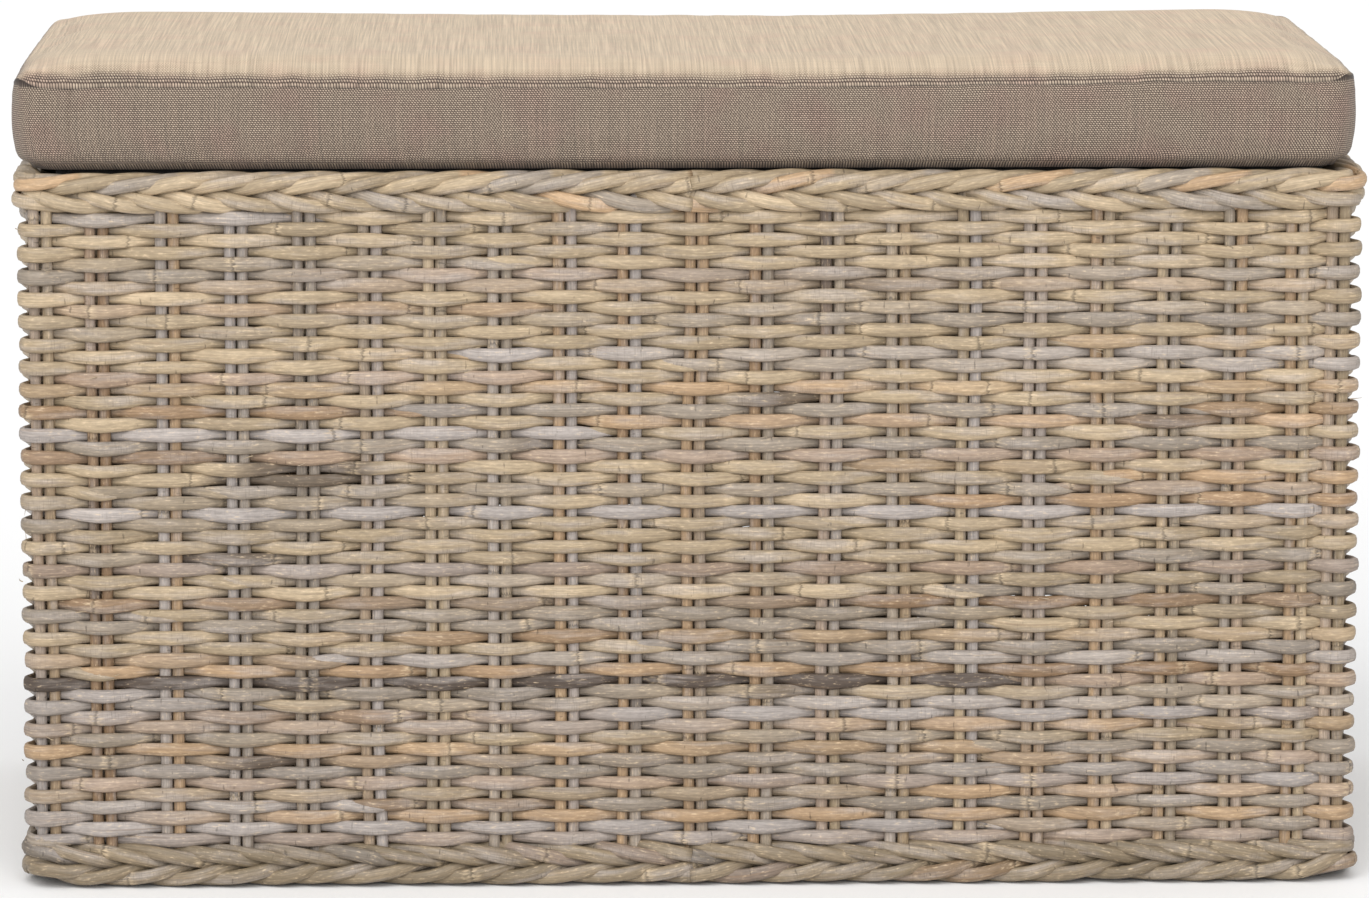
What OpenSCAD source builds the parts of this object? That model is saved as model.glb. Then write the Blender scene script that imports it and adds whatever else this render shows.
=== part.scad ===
// Woven rattan storage ottoman: a wicker basket on a pole frame.
// Its hinged lid carries a box cushion.
// +Z is up, +X is the user's right when facing the front, and the front faces -Y.
// The origin is on the floor, under the middle of the basket. Millimetres.

/* [Basket] */
// Width over the plaited borders
body_w = 856; // [780:1:920]
// Depth over the plaited borders
body_d = 440; // [400:10:500]
// Height to the top of the upper border
body_h = 457; // [420:1:500]
// Thickness of the woven wall
wall_t = 21; // [21:1:24]
// Diameter of the plaited borders
border_d = 25; // [22:1:28]
// How far the borders stand proud of the woven wall
border_proud = 4; // [2:1:5]
// Height of the lower border above the floor
border_lift = 2; // [1:0.5:4]

/* [Stakes] */
// Diameter of one upright stake
stake_d = 6.4; // [5:0.2:7]
// Distance between the middles of the two stakes of a pair
stake_gap = 7.4; // [7.2:0.2:9]
// Distance from pair to pair along the front and back
stake_pitch = 42; // [38:1:48]
// Distance from pair to pair along the ends
end_pitch = 41; // [38:1:46]

/* [Frame] */
// Diameter of a corner post
post_d = 24; // [20:1:26]
// Thickness of the rails between the posts
rail_t = 20; // [16:1:22]
// Height of the rails under the lid
top_rail_h = 50; // [46:1:60]
// Height of the rails under the floor
bottom_rail_h = 20; // [16:1:25]
// Thickness of the plywood floor
floor_t = 6; // [4:1:9]
// Height of the glides under the posts
glide_h = 6; // [4:1:8]

/* [Lid] */
// Thickness of the plywood lid panel
panel_t = 9; // [6:1:12]
// Thickness of the battens under the lid panel
batten_t = 16; // [12:1:20]
// Width of the battens under the lid panel
batten_w = 40; // [30:1:50]
// Gap all round between the lid and the upper border
lid_gap = 3.5; // [2.5:0.5:5]
// Thickness of the cloth round the lid
cloth_t = 0.8; // [0.5:0.1:1]
// Thickness of the hinge rail behind the lid
hinge_rail_t = 12; // [10:1:14]

/* [Hinges and stays] */
// Distance from the middle of the lid to the middle of each hinge
hinge_x = 270; // [200:10:320]
// Length of a hinge
hinge_w = 60; // [50:2:76]
// Distance from the hinge pin to both stay pivots
stay_reach = 150; // [140:1:155]
// How far below the level of the hinge pin a stay's lid pivot is, as an angle seen from it
stay_lid_angle = 15.8; // [15.6:0.1:17]
// Angle from a stay's lid pivot to its stud, seen from the hinge pin with the lid shut
stay_shut_angle = 14.5; // [14:0.5:16]
// Angle that the lid opens to
lid_open = 90; // [80:1:92]

/* [Cushion] */
// How far the cushion stays inside the borders at the front and the ends
cushion_inset = 4; // [2:1:8]
// Height of the cushion's side band
band_h = 54; // [50:1:60]
// How far the middle of the cushion stands above its top seam
crown_h = 13; // [8:1:18]
// Corner radius of the cushion in plan
cushion_r = 28; // [20:1:40]
// Thickness of the cushion cover
cover_t = 1.6; // [1:0.1:2]

/* [Hidden] */
$fn = 48;
eps = 0.01;
hole_slack = 0.15;

// Wicker. The wall's outside is wall_x and wall_y from the middle, and its inside is in_x and in_y.
wall_x = body_w / 2 - border_proud;
wall_y = body_d / 2 - border_proud;
in_x = wall_x - wall_t;
in_y = wall_y - wall_t;
mid_x = wall_x - wall_t / 2;
mid_y = wall_y - wall_t / 2;
wall_z0 = border_lift + border_d;
wall_z1 = body_h - border_d;
corner_pair_inset = 6;
corner_pair_gap = 22;
end_margin = 30;
front_pairs = floor((mid_x - corner_pair_inset - corner_pair_gap) / stake_pitch);
end_pairs = floor((mid_y - end_margin) / end_pitch);

// Frame
post_x = in_x - post_d / 2;
post_y = in_y - post_d / 2;
post_z1 = wall_z1 - 1;
cope_slack = 0.05;
rail_lift = 14;
bottom_rail_z = border_lift + rail_lift;
floor_gap = 1;
floor_z = bottom_rail_z + bottom_rail_h;
floor_batten_w = 30;
floor_batten_t = 16;
floor_batten_x = 250;
glide_d = post_d - 2;
glide_foot_d = post_d - 5;
glide_chamfer = 2;

// Lid, from the bumpers up
rim_x = body_w / 2 - border_d;
rim_y = body_d / 2 - border_d;
bumper_h = 2.2;
bumper_d = 10;
bumper_x = 300;
bumper_y = 90;
bumper_inset = 2;
lid_x = rim_x - lid_gap;
lid_front = -(rim_y - lid_gap);
leaf_t = 1.5;
hinge_rail_y = rim_y - hinge_rail_t;
hinge_rail_gap = 0.5;
lid_back = hinge_rail_y - 2 * leaf_t;
lid_z0 = post_z1 + bumper_h;
batten_z = lid_z0 + cloth_t;
panel_z = batten_z + batten_t;
panel_top = panel_z + panel_t;
lid_top = panel_top + cloth_t;
wood_x = lid_x - cloth_t;
wood_front = lid_front + cloth_t;
wood_back = lid_back - cloth_t;
cloth_turn = batten_w + 2;
strip_t = 1.2;
strip_l = 300;
strip_w = 25;
strip_x = [-260, 260];
strip_y = [-120, 100];

// Hinges
knuckle_r = 3.5;
pin_r = 1.9;
pin_slack = 0.05;
knuckle_gap = 0.3;
leaf_play = 0.1;
hinge_y = lid_back + leaf_t;
hinge_z = lid_top + knuckle_r + 0.3;
leaf_h = 24;
leaf_top = lid_top - 0.5;
pin_over = 1.5;
pin_head_r = 3;
pin_head_t = 1.2;
screw_r = 1.75;
screw_head_r = 3.4;
screw_l = 10;
leaf_screws_x = [-22, 0, 22];
leaf_screws_z = leaf_top - leaf_h / 2 - 2;

// Stays. The lid pivot and the stud are equally far from the hinge pin,
// so the stay turns half as far as the lid.
stay_t = 2.5;
stay_w = 16;
stay_side = 0.2;
ear_t = 1.5;
plate_t = 2;
stud_r = 3;
slot_r = 3.3;
slot_over = 0.9;
slot_wall = 3;
rivet_r = 2.5;
rivet_head_r = 5;
stud_head_r = 6;
shoulder_r = 5;
shoulder_t = 2;
head_t = 1.5;
rail_face = in_x - rail_t;
stay_x0 = rail_face - plate_t - shoulder_t - stay_side - stay_t;
stay_x1 = stay_x0 + stay_t + stay_side;
head_x = stay_x0 - stay_side - head_t;
lid_pivot = [hinge_y - stay_reach * cos(stay_lid_angle), hinge_z - stay_reach * sin(stay_lid_angle)];
stud_angle = stay_lid_angle + stay_shut_angle;
stud = [hinge_y - stay_reach * cos(stud_angle), hinge_z - stay_reach * sin(stud_angle)];
slot_in = 2 * stay_reach * sin(stay_shut_angle / 2) - slot_over;
slot_out = 2 * stay_reach * sin((stay_shut_angle + lid_open) / 2) + slot_over;
stay_lean = atan2(stud.y - lid_pivot.y, stud.x - lid_pivot.x);
body_bracket_half = 20;
body_bracket_foot = 8;
body_bracket_gap = 6;
lid_bracket_half = 14;
lid_bracket_reach = 16;
ear_half = 8;
stay_body_screw_l = 14;
stay_lid_screw_l = 12;
stay_body_screw_y = 12;
stay_body_screw_drop = 16;
stay_body_screw_at = [
    for (dy = [-stay_body_screw_y, stay_body_screw_y]) [stud.x + dy, post_z1 - stay_body_screw_drop]
];
stay_lid_screw_y = 8;
stay_lid_screw_inset = 6;
stay_lid_screw_at = [
    for (dy = [-stay_lid_screw_y, stay_lid_screw_y]) [stay_x0 - stay_lid_screw_inset, lid_pivot.x + dy]
];

// Cushion
cushion_x = body_w / 2 - cushion_inset;
cushion_front = -(body_d / 2 - cushion_inset);
cushion_back_gap = 7;
cushion_back = hinge_y - cushion_back_gap;
cushion_z0 = lid_top + 2 * strip_t;
seam_z = cushion_z0 + band_h;
cushion_top = seam_z + crown_h;

// Zip along the middle of the cushion's back
zip_half = 365;
zip_z = cushion_z0 + band_h / 2;
tape_w = 24;
tape_t = 0.8;
coil_w = 3;
coil_t = 1.8;
coil_end = 3;
slider_l = 9;
slider_w = 8;
slider_play = 0.2;
slider_wall = 1.6;
slider_x = zip_half - 20;
pull_l = 24;
pull_w = 5;
pull_t = 1.2;
pull_hole_x = 20;
pull_hole_r = 1.4;
slit_h = 8;

cane = "tan";
grey_cane = "darkkhaki";
timber = "burlywood";
ply = "wheat";
steel = "silver";
black = "dimgray";
fabric = "rosybrown";

// ---- helpers ----

// A box from one corner to the opposite one
module span(a, b) {
    translate(a) cube(b - a);
}

// A screw whose head is flush at the origin and whose shank runs along +Z
module screw(len = screw_l) {
    cylinder(h = leaf_t, r1 = screw_head_r, r2 = screw_r);
    cylinder(h = len, r = screw_r);
}

// The clearance that a leaf or bracket has round a screw
module screw_hole(t = leaf_t) {
    translate([0, 0, -eps])
        cylinder(h = t + 2 * eps, r1 = screw_head_r + hole_slack, r2 = screw_r + hole_slack);
}

// Repeats its children on the left as a mirror image of the right
module side(s) {
    if (s > 0) children();
    else mirror([1, 0, 0]) children();
}

// ---- frame ----

module post(sx, sy) {
    color(cane) translate([sx * post_x, sy * post_y, glide_h]) cylinder(h = post_z1 - glide_h, d = post_d);
}

// Takes the posts out of a rail, which leaves the hollowed ends that fit round them
module coped() {
    difference() {
        children();
        for (sx = [-1, 1], sy = [-1, 1])
            translate([sx * post_x, sy * post_y, 0]) cylinder(h = body_h, d = post_d + 2 * cope_slack);
    }
}

module long_rail(sy, z, h) {
    y = sy > 0 ? in_y - rail_t : -in_y;
    color(timber) coped() translate([-post_x, y, z]) cube([2 * post_x, rail_t, h]);
}

module short_rail(sx, z, h) {
    x = sx > 0 ? in_x - rail_t : -in_x;
    color(timber) coped() translate([x, -post_y, z]) cube([rail_t, 2 * post_y, h]);
}

module hinge_rail() {
    color(timber) span([-lid_x, hinge_rail_y, post_z1], [lid_x, rim_y - hinge_rail_gap, panel_top]);
}

// Plywood with a square notch round each post
module floor_panel() {
    notch = post_d + 2 * cope_slack;
    reach = [in_x - floor_gap, in_y - floor_gap];
    color(ply) difference() {
        span([-reach.x, -reach.y, floor_z], [reach.x, reach.y, floor_z + floor_t]);
        for (sx = [-1, 1], sy = [-1, 1])
            translate([sx * post_x - notch / 2, sy * post_y - notch / 2, floor_z - floor_t])
                cube([notch, notch, 3 * floor_t]);
    }
}

module floor_battens() {
    reach = in_y - rail_t;
    for (x = [-floor_batten_x, 0, floor_batten_x])
        color(timber) translate([x - floor_batten_w / 2, -reach, floor_z - floor_batten_t])
            cube([floor_batten_w, 2 * reach, floor_batten_t]);
}

module floor_glides() {
    for (sx = [-1, 1], sy = [-1, 1])
        color(black) translate([sx * post_x, sy * post_y, 0]) {
            cylinder(h = glide_chamfer, d1 = glide_foot_d, d2 = glide_d);
            translate([0, 0, glide_chamfer]) cylinder(h = glide_h - glide_chamfer, d = glide_d);
        }
}

// ---- wicker ----

// Where the stake pairs stand along the front and back, the pair at each corner included
front_places = concat(
    [-(mid_x - corner_pair_inset)],
    [for (i = [-front_pairs : front_pairs]) i * stake_pitch],
    [mid_x - corner_pair_inset]
);
end_places = [for (i = [-end_pairs : end_pairs]) i * end_pitch];

module stake_row(places, d) {
    for (p = places, g = [-0.5, 0.5])
        translate([p + g * stake_gap, 0, wall_z0]) cylinder(h = wall_z1 - wall_z0, d = d, $fn = 24);
}

module long_stakes(sy, d = stake_d) {
    translate([0, sy * mid_y, 0]) stake_row(front_places, d);
}

module end_stakes(sx, d = stake_d) {
    translate([sx * mid_x, 0, 0]) rotate(90) stake_row(end_places, d);
}

// The front and back walls run round the corners, and the end walls fit between them
module long_wall(sy) {
    color(grey_cane) difference() {
        mirror([0, sy > 0 ? 0 : 1, 0]) translate([0, 0, wall_z0]) {
            span([-in_x, in_y, 0], [in_x, wall_y, wall_z1 - wall_z0]);
            for (sx = [-1, 1]) intersection() {
                translate([sx * in_x, in_y, 0]) cylinder(h = wall_z1 - wall_z0, r = wall_t);
                translate([sx > 0 ? in_x : -wall_x, in_y, 0]) cube([wall_t, wall_t, wall_z1 - wall_z0]);
            }
        }
        long_stakes(sy, stake_d + 2 * hole_slack);
    }
}

module end_wall(sx) {
    x = sx > 0 ? in_x : -wall_x;
    color(grey_cane) difference() {
        span([x, -in_y, wall_z0], [x + wall_t, in_y, wall_z1]);
        end_stakes(sx, stake_d + 2 * hole_slack);
    }
}

// A straight run of plait along the front or back, rounded where it turns the corners
module long_border(sy, z) {
    r = border_d / 2;
    reach = body_w / 2 - r;
    color(cane) translate([0, sy * (body_d / 2 - r), z + r]) {
        translate([-reach, 0, 0]) rotate([0, 90, 0]) cylinder(h = 2 * reach, r = r);
        for (sx = [-1, 1]) translate([sx * reach, 0, 0]) sphere(r = r);
    }
}

module end_border(sx, z) {
    r = border_d / 2;
    color(cane) translate([sx * (body_w / 2 - r), rim_y, z + r])
        rotate([90, 0, 0]) cylinder(h = 2 * rim_y, r = r);
}

// ---- lid ----

module lid_bumpers() {
    front = [bumper_x, -(in_y - rail_t / 2 - bumper_inset)];
    end = [in_x - rail_t / 2 - bumper_inset, bumper_y];
    for (sx = [-1, 1], p = [front, end])
        color(black) translate([sx * p.x, p.y, post_z1]) cylinder(h = bumper_h, d = bumper_d);
}

module lid_panel() {
    color(ply) span([-wood_x, wood_front, panel_z], [wood_x, wood_back, panel_top]);
}

module lid_batten_long(front) {
    y = front ? wood_front : wood_back - batten_w;
    color(timber) translate([-wood_x, y, batten_z]) cube([2 * wood_x, batten_w, batten_t]);
}

module lid_batten_end(sx) {
    x = sx > 0 ? wood_x - batten_w : -wood_x;
    color(timber) span([x, wood_front + batten_w, batten_z], [x + batten_w, wood_back - batten_w, panel_z]);
}

// Cloth over the top and edges of the lid, turned under its battens
module lid_cloth() {
    color(black) difference() {
        span([-lid_x, lid_front, lid_z0], [lid_x, lid_back, lid_top]);
        span([-wood_x, wood_front, batten_z], [wood_x, wood_back, panel_top]);
        translate([0, 0, -eps]) span(
            [-lid_x + cloth_turn, lid_front + cloth_turn, lid_z0],
            [lid_x - cloth_turn, lid_back - cloth_turn, batten_z + 2 * eps]
        );
    }
}

module strips(z) {
    for (x = strip_x, y = strip_y)
        color(black) translate([x - strip_l / 2, y - strip_w / 2, z]) cube([strip_l, strip_w, strip_t]);
}

// ---- hinges ----

module knuckle(x0, x1) {
    translate([x0, hinge_y, hinge_z]) rotate([0, 90, 0]) cylinder(h = x1 - x0, r = knuckle_r);
}

// Puts a screw at a leaf's face, so that it runs into the hinge rail or into the lid
module leaf_screw_place(on_body) {
    translate([0, on_body ? leaf_play : -leaf_play, leaf_screws_z])
        rotate([on_body ? -90 : 90, 0, 0]) children();
}

// One leaf with its own knuckles. The body leaf has the outer two and the lid leaf the middle one.
module leaf(x, on_body) {
    third = hinge_w / 3;
    y = on_body ? hinge_y + leaf_play : hinge_y - leaf_t;
    runs = on_body
        ? [[-hinge_w / 2, -third / 2 - knuckle_gap], [third / 2 + knuckle_gap, hinge_w / 2]]
        : [[-third / 2, third / 2]];
    color(steel) translate([x, 0, 0]) difference() {
        union() {
            translate([-hinge_w / 2, y, leaf_top - leaf_h]) cube([hinge_w, leaf_t - leaf_play, leaf_h]);
            for (r = runs) {
                knuckle(r[0], r[1]);
                translate([r[0], y, leaf_top - eps])
                    cube([r[1] - r[0], leaf_t - leaf_play, hinge_z - leaf_top]);
            }
        }
        translate([-hinge_w, hinge_y, hinge_z])
            rotate([0, 90, 0]) cylinder(h = 2 * hinge_w, r = pin_r + pin_slack);
        for (sx = leaf_screws_x) translate([sx, hinge_y, 0]) leaf_screw_place(on_body) screw_hole();
    }
}

module hinge_pins() {
    for (sx = [-1, 1])
        color(steel) translate([sx * hinge_x - hinge_w / 2 - pin_over, hinge_y, hinge_z]) rotate([0, 90, 0]) {
            cylinder(h = hinge_w + 2 * pin_over, r = pin_r);
            for (z = [0, hinge_w + 2 * pin_over - pin_head_t])
                translate([0, 0, z]) cylinder(h = pin_head_t, r = pin_head_r);
        }
}

module hinge_screws(on_body) {
    for (x = [-hinge_x, hinge_x], sx = leaf_screws_x)
        color(steel) translate([x + sx, hinge_y, 0]) leaf_screw_place(on_body) screw();
}

// ---- stays, drawn on the right and mirrored for the left ----

// A disc or rod that runs along X at a point of the YZ plane
module along_x(at, x0, x1, r) {
    translate([x0, at.x, at.y]) rotate([0, 90, 0]) cylinder(h = x1 - x0, r = r);
}

// A plate on the end rail with the stud that the slotted arm slides over
module body_bracket(s) {
    plate_x = rail_face - plate_t;
    color(steel) side(s) {
        difference() {
            span(
                [plate_x, stud.x - body_bracket_half, stud.y - body_bracket_foot],
                [rail_face, stud.x + body_bracket_half, post_z1 - body_bracket_gap]
            );
            for (p = stay_body_screw_at)
                translate([plate_x, p.x, p.y]) rotate([0, 90, 0]) screw_hole(plate_t);
        }
        along_x(stud, plate_x - shoulder_t, plate_x, shoulder_r);
        along_x(stud, head_x, plate_x - shoulder_t, stud_r);
        along_x(stud, head_x, head_x + head_t, stud_head_r);
    }
}

// An angle under the lid with the pivot of the arm
module lid_bracket(s) {
    color(steel) side(s) {
        difference() {
            span(
                [stay_x0 - lid_bracket_reach, lid_pivot.x - lid_bracket_half, lid_z0 - ear_t],
                [stay_x1 + ear_t, lid_pivot.x + lid_bracket_half, lid_z0]
            );
            for (p = stay_lid_screw_at) translate([p.x, p.y, lid_z0 - ear_t]) screw_hole(ear_t);
        }
        span(
            [stay_x1, lid_pivot.x - ear_half, lid_pivot.y - ear_half],
            [stay_x1 + ear_t, lid_pivot.x + ear_half, lid_z0]
        );
        along_x(lid_pivot, head_x, stay_x1, rivet_r);
        along_x(lid_pivot, head_x, head_x + head_t, rivet_head_r);
    }
}

module stay_arm(s) {
    far_end = slot_out + slot_wall;
    color(steel) side(s)
    translate([stay_x0, lid_pivot.x, lid_pivot.y]) rotate([stay_lean, 0, 0])
    difference() {
        union() {
            translate([0, 0, -stay_w / 2]) cube([stay_t, far_end, stay_w]);
            for (y = [0, far_end]) translate([0, y, 0]) rotate([0, 90, 0]) cylinder(h = stay_t, d = stay_w);
        }
        translate([-stay_t, 0, 0]) rotate([0, 90, 0]) cylinder(h = 3 * stay_t, r = rivet_r + pin_slack);
        translate([-stay_t, slot_in, -slot_r]) cube([3 * stay_t, slot_out - slot_in, 2 * slot_r]);
        for (y = [slot_in, slot_out])
            translate([-stay_t, y, 0]) rotate([0, 90, 0]) cylinder(h = 3 * stay_t, r = slot_r);
    }
}

module stay_body_screws() {
    for (s = [-1, 1], p = stay_body_screw_at)
        color(steel) side(s) translate([rail_face - plate_t, p.x, p.y])
            rotate([0, 90, 0]) screw(stay_body_screw_l);
}

module stay_lid_screws() {
    for (s = [-1, 1], p = stay_lid_screw_at)
        color(steel) side(s) translate([p.x, p.y, lid_z0 - ear_t]) screw(stay_lid_screw_l);
}

// ---- cushion ----

// The cushion's outline in plan, drawn in by skin all round
module cushion_outline(skin) {
    r = cushion_r - skin;
    x = cushion_x - skin;
    y0 = cushion_front + skin;
    y1 = cushion_back - skin;
    translate([-x + r, y0]) square([2 * (x - r), y1 - y0]);
    translate([-x, y0 + r]) square([2 * x, y1 - y0 - 2 * r]);
    for (sx = [-1, 1], y = [y0 + r, y1 - r]) translate([sx * (x - r), y]) circle(r = r);
}

// The radius of an arc that rises by crown_h over a run of half on each side
function crown_radius(half) = (half * half + crown_h * crown_h) / (2 * crown_h);

// The cushion's outside drawn in by skin all round, with a top that rises from every edge to the middle
module cushion_body(skin) {
    half_d = (cushion_back - cushion_front) / 2;
    lengthways = crown_radius(cushion_x);
    crosswise = crown_radius(half_d);
    intersection() {
        translate([0, 0, cushion_z0 + skin])
            linear_extrude(cushion_top - cushion_z0 - skin) cushion_outline(skin);
        translate([0, cushion_front + half_d, cushion_top - crosswise]) rotate([0, 90, 0])
            cylinder(h = 2 * body_w, r = crosswise - skin, center = true, $fn = 720);
        translate([0, 0, cushion_top - lengthways]) rotate([90, 0, 0])
            cylinder(h = 2 * body_w, r = lengthways - skin, center = true, $fn = 1440);
    }
}

// The cover is open along its back, behind the zip tape
module cushion_cover() {
    color(fabric) difference() {
        cushion_body(0);
        cushion_body(cover_t);
        span(
            [-zip_half, cushion_back - 2 * cover_t, zip_z - slit_h / 2],
            [zip_half, cushion_back + cover_t, zip_z + slit_h / 2]
        );
    }
}

module cushion_foam() {
    color("ivory") cushion_body(cover_t + 0.3);
}

module zip_tape() {
    color(black) translate([0, cushion_back, zip_z]) {
        span([-zip_half, 0, -tape_w / 2], [zip_half, tape_t, tape_w / 2]);
        span([-zip_half + coil_end, tape_t, -coil_w / 2], [zip_half - coil_end, tape_t + coil_t, coil_w / 2]);
    }
}

// The slider straddles the coil, with its pull lying along the tape
module zip_slider() {
    y0 = tape_t + slider_play;
    y1 = tape_t + coil_t + slider_wall;
    groove_h = tape_t + coil_t + slider_play;
    color(steel) translate([slider_x, cushion_back, zip_z]) difference() {
        union() {
            span([-slider_l / 2, y0, -slider_w / 2], [slider_l / 2, y1, slider_w / 2]);
            span([-pull_l, y1 - slider_wall / 2, -pull_w / 2], [slider_l / 4, y1 + pull_t, pull_w / 2]);
        }
        span([-slider_l, 0, -coil_w / 2 - slider_play], [slider_l, groove_h, coil_w / 2 + slider_play]);
        translate([-pull_hole_x, 0, 0]) rotate([-90, 0, 0]) cylinder(h = 3 * y1, r = pull_hole_r);
    }
}

// ---- every node by name ----

post(-1, -1);  // corner_post_front_left
post(1, -1);  // corner_post_front_right
post(-1, 1);  // corner_post_back_left
post(1, 1);  // corner_post_back_right
long_rail(-1, bottom_rail_z, bottom_rail_h);  // bottom_rail_front
long_rail(1, bottom_rail_z, bottom_rail_h);  // bottom_rail_back
short_rail(-1, bottom_rail_z, bottom_rail_h);  // bottom_rail_left
short_rail(1, bottom_rail_z, bottom_rail_h);  // bottom_rail_right
long_rail(-1, post_z1 - top_rail_h, top_rail_h);  // top_rail_front
long_rail(1, post_z1 - top_rail_h, top_rail_h);  // top_rail_back
short_rail(-1, post_z1 - top_rail_h, top_rail_h);  // top_rail_left
short_rail(1, post_z1 - top_rail_h, top_rail_h);  // top_rail_right
hinge_rail();
floor_panel();
floor_battens();
floor_glides();
color(cane) long_stakes(-1);  // stakes_front
color(cane) long_stakes(1);  // stakes_back
color(cane) end_stakes(-1);  // stakes_left
color(cane) end_stakes(1);  // stakes_right
long_wall(-1);  // weave_front
long_wall(1);  // weave_back
end_wall(-1);  // weave_left
end_wall(1);  // weave_right
long_border(-1, wall_z1);  // top_border_front
long_border(1, wall_z1);  // top_border_back
end_border(-1, wall_z1);  // top_border_left
end_border(1, wall_z1);  // top_border_right
long_border(-1, border_lift);  // bottom_border_front
long_border(1, border_lift);  // bottom_border_back
end_border(-1, border_lift);  // bottom_border_left
end_border(1, border_lift);  // bottom_border_right
leaf(-hinge_x, true);  // hinge_left_body_leaf
leaf(hinge_x, true);  // hinge_right_body_leaf
hinge_pins();
hinge_screws(true);  // hinge_body_screws
body_bracket(-1);  // stay_left_body_bracket
body_bracket(1);  // stay_right_body_bracket
stay_body_screws();
lid_bumpers();
lid_panel();
lid_batten_long(true);  // lid_batten_front
lid_batten_long(false);  // lid_batten_back
lid_batten_end(-1);  // lid_batten_left
lid_batten_end(1);  // lid_batten_right
lid_cloth();
leaf(-hinge_x, false);  // hinge_left_lid_leaf
leaf(hinge_x, false);  // hinge_right_lid_leaf
hinge_screws(false);  // hinge_lid_screws
lid_bracket(-1);  // stay_left_lid_bracket
lid_bracket(1);  // stay_right_lid_bracket
stay_lid_screws();
strips(lid_top);  // hook_strips
stay_arm(-1);  // stay_left_arm
stay_arm(1);  // stay_right_arm
cushion_cover();
cushion_foam();
strips(lid_top + strip_t);  // loop_strips
zip_tape();
zip_slider();
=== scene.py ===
"""Looks of the woven storage ottoman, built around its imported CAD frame. Metres, +Z up, front at -Y."""

from math import pi, radians

import bpy
import numpy as np
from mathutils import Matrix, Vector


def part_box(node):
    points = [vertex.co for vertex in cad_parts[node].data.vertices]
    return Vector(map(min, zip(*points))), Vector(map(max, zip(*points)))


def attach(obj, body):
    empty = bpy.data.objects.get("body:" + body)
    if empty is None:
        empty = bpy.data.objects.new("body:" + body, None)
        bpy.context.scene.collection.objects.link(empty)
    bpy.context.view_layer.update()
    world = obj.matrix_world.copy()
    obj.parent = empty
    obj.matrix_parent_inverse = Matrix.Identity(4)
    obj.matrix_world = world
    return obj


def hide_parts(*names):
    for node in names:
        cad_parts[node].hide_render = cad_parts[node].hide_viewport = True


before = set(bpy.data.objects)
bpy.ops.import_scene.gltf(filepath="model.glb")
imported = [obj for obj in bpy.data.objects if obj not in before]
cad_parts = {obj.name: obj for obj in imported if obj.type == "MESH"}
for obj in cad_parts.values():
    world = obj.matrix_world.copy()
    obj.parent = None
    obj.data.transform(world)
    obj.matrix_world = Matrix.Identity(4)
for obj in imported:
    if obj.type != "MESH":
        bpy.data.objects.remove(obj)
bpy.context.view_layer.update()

MM = 0.001
rng = np.random.default_rng(4117)


# ---- colours

def srgb(red, green, blue):
    """A colour given in sRGB steps of 0 to 255, as linear values."""
    share = np.array([red, green, blue]) / 255
    return np.where(share <= 0.04045, share / 12.92, ((share + 0.055) / 1.055) ** 2.4)


def rgba(colour):
    return (*[float(c) for c in colour], 1.0)


def paint(red, green, blue):
    return rgba(srgb(red, green, blue))


STRAW = srgb(172, 153, 126)
KHAKI = srgb(159, 141, 115)
SAND = srgb(171, 143, 112)
LILAC = srgb(163, 154, 148)
ASH = srgb(145, 133, 119)
BLUSH = srgb(165, 145, 128)
UMBER = srgb(142, 115, 88)
BARK = srgb(84, 72, 63)
RATTANS = np.array([STRAW, KHAKI, SAND, LILAC, ASH, BLUSH, UMBER, BARK])
SHARES_HIGH = [0.28, 0.36, 0.09, 0.06, 0.12, 0.06, 0.03, 0.00]
SHARES_LOW = [0.12, 0.10, 0.13, 0.27, 0.17, 0.09, 0.10, 0.02]
SHARES_BORDER = [0.44, 0.38, 0.06, 0.01, 0.09, 0.02, 0.00, 0.00]
SHARES_STAKE = [0.14, 0.12, 0.22, 0.24, 0.14, 0.06, 0.08, 0.00]
STAIN_START = 1.6


# ---- meshes

def in_scene(name, data):
    """A new object in the scene that shows the data."""
    made = bpy.data.objects.new(name, data)
    bpy.context.scene.collection.objects.link(made)
    return made


def flat_mesh(name, points, faces):
    """A mesh from points and lists of faces. Each array of faces has one row for each face."""
    mesh = bpy.data.meshes.new(name)
    sizes = np.concatenate([np.full(len(f), f.shape[1]) for f in faces])
    corners = np.concatenate([f.ravel() for f in faces])
    mesh.vertices.add(len(points))
    mesh.vertices.foreach_set("co", np.asarray(points, np.float32).ravel())
    mesh.loops.add(len(corners))
    mesh.loops.foreach_set("vertex_index", corners.astype(np.int32))
    mesh.polygons.add(len(sizes))
    starts = np.concatenate([[0], np.cumsum(sizes)[:-1]])
    mesh.polygons.foreach_set("loop_start", starts.astype(np.int32))
    mesh.polygons.foreach_set("use_smooth", np.ones(len(sizes), bool))
    mesh.update(calc_edges=True)
    return mesh


def add_attribute(mesh, name, kind, domain, values):
    attribute = mesh.attributes.new(name, kind, domain)
    field = {"FLOAT": "value", "FLOAT_COLOR": "color", "FLOAT_VECTOR": "vector"}[kind]
    attribute.data.foreach_set(field, np.asarray(values, np.float32).ravel())


def add_piece(name, mesh, material, body, replaced=()):
    piece = in_scene(name, mesh)
    mesh.materials.append(material)
    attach(piece, body)
    if replaced:
        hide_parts(*replaced)
    return piece


def unit(vectors):
    return vectors / np.linalg.norm(vectors, axis=-1, keepdims=True)


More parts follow.
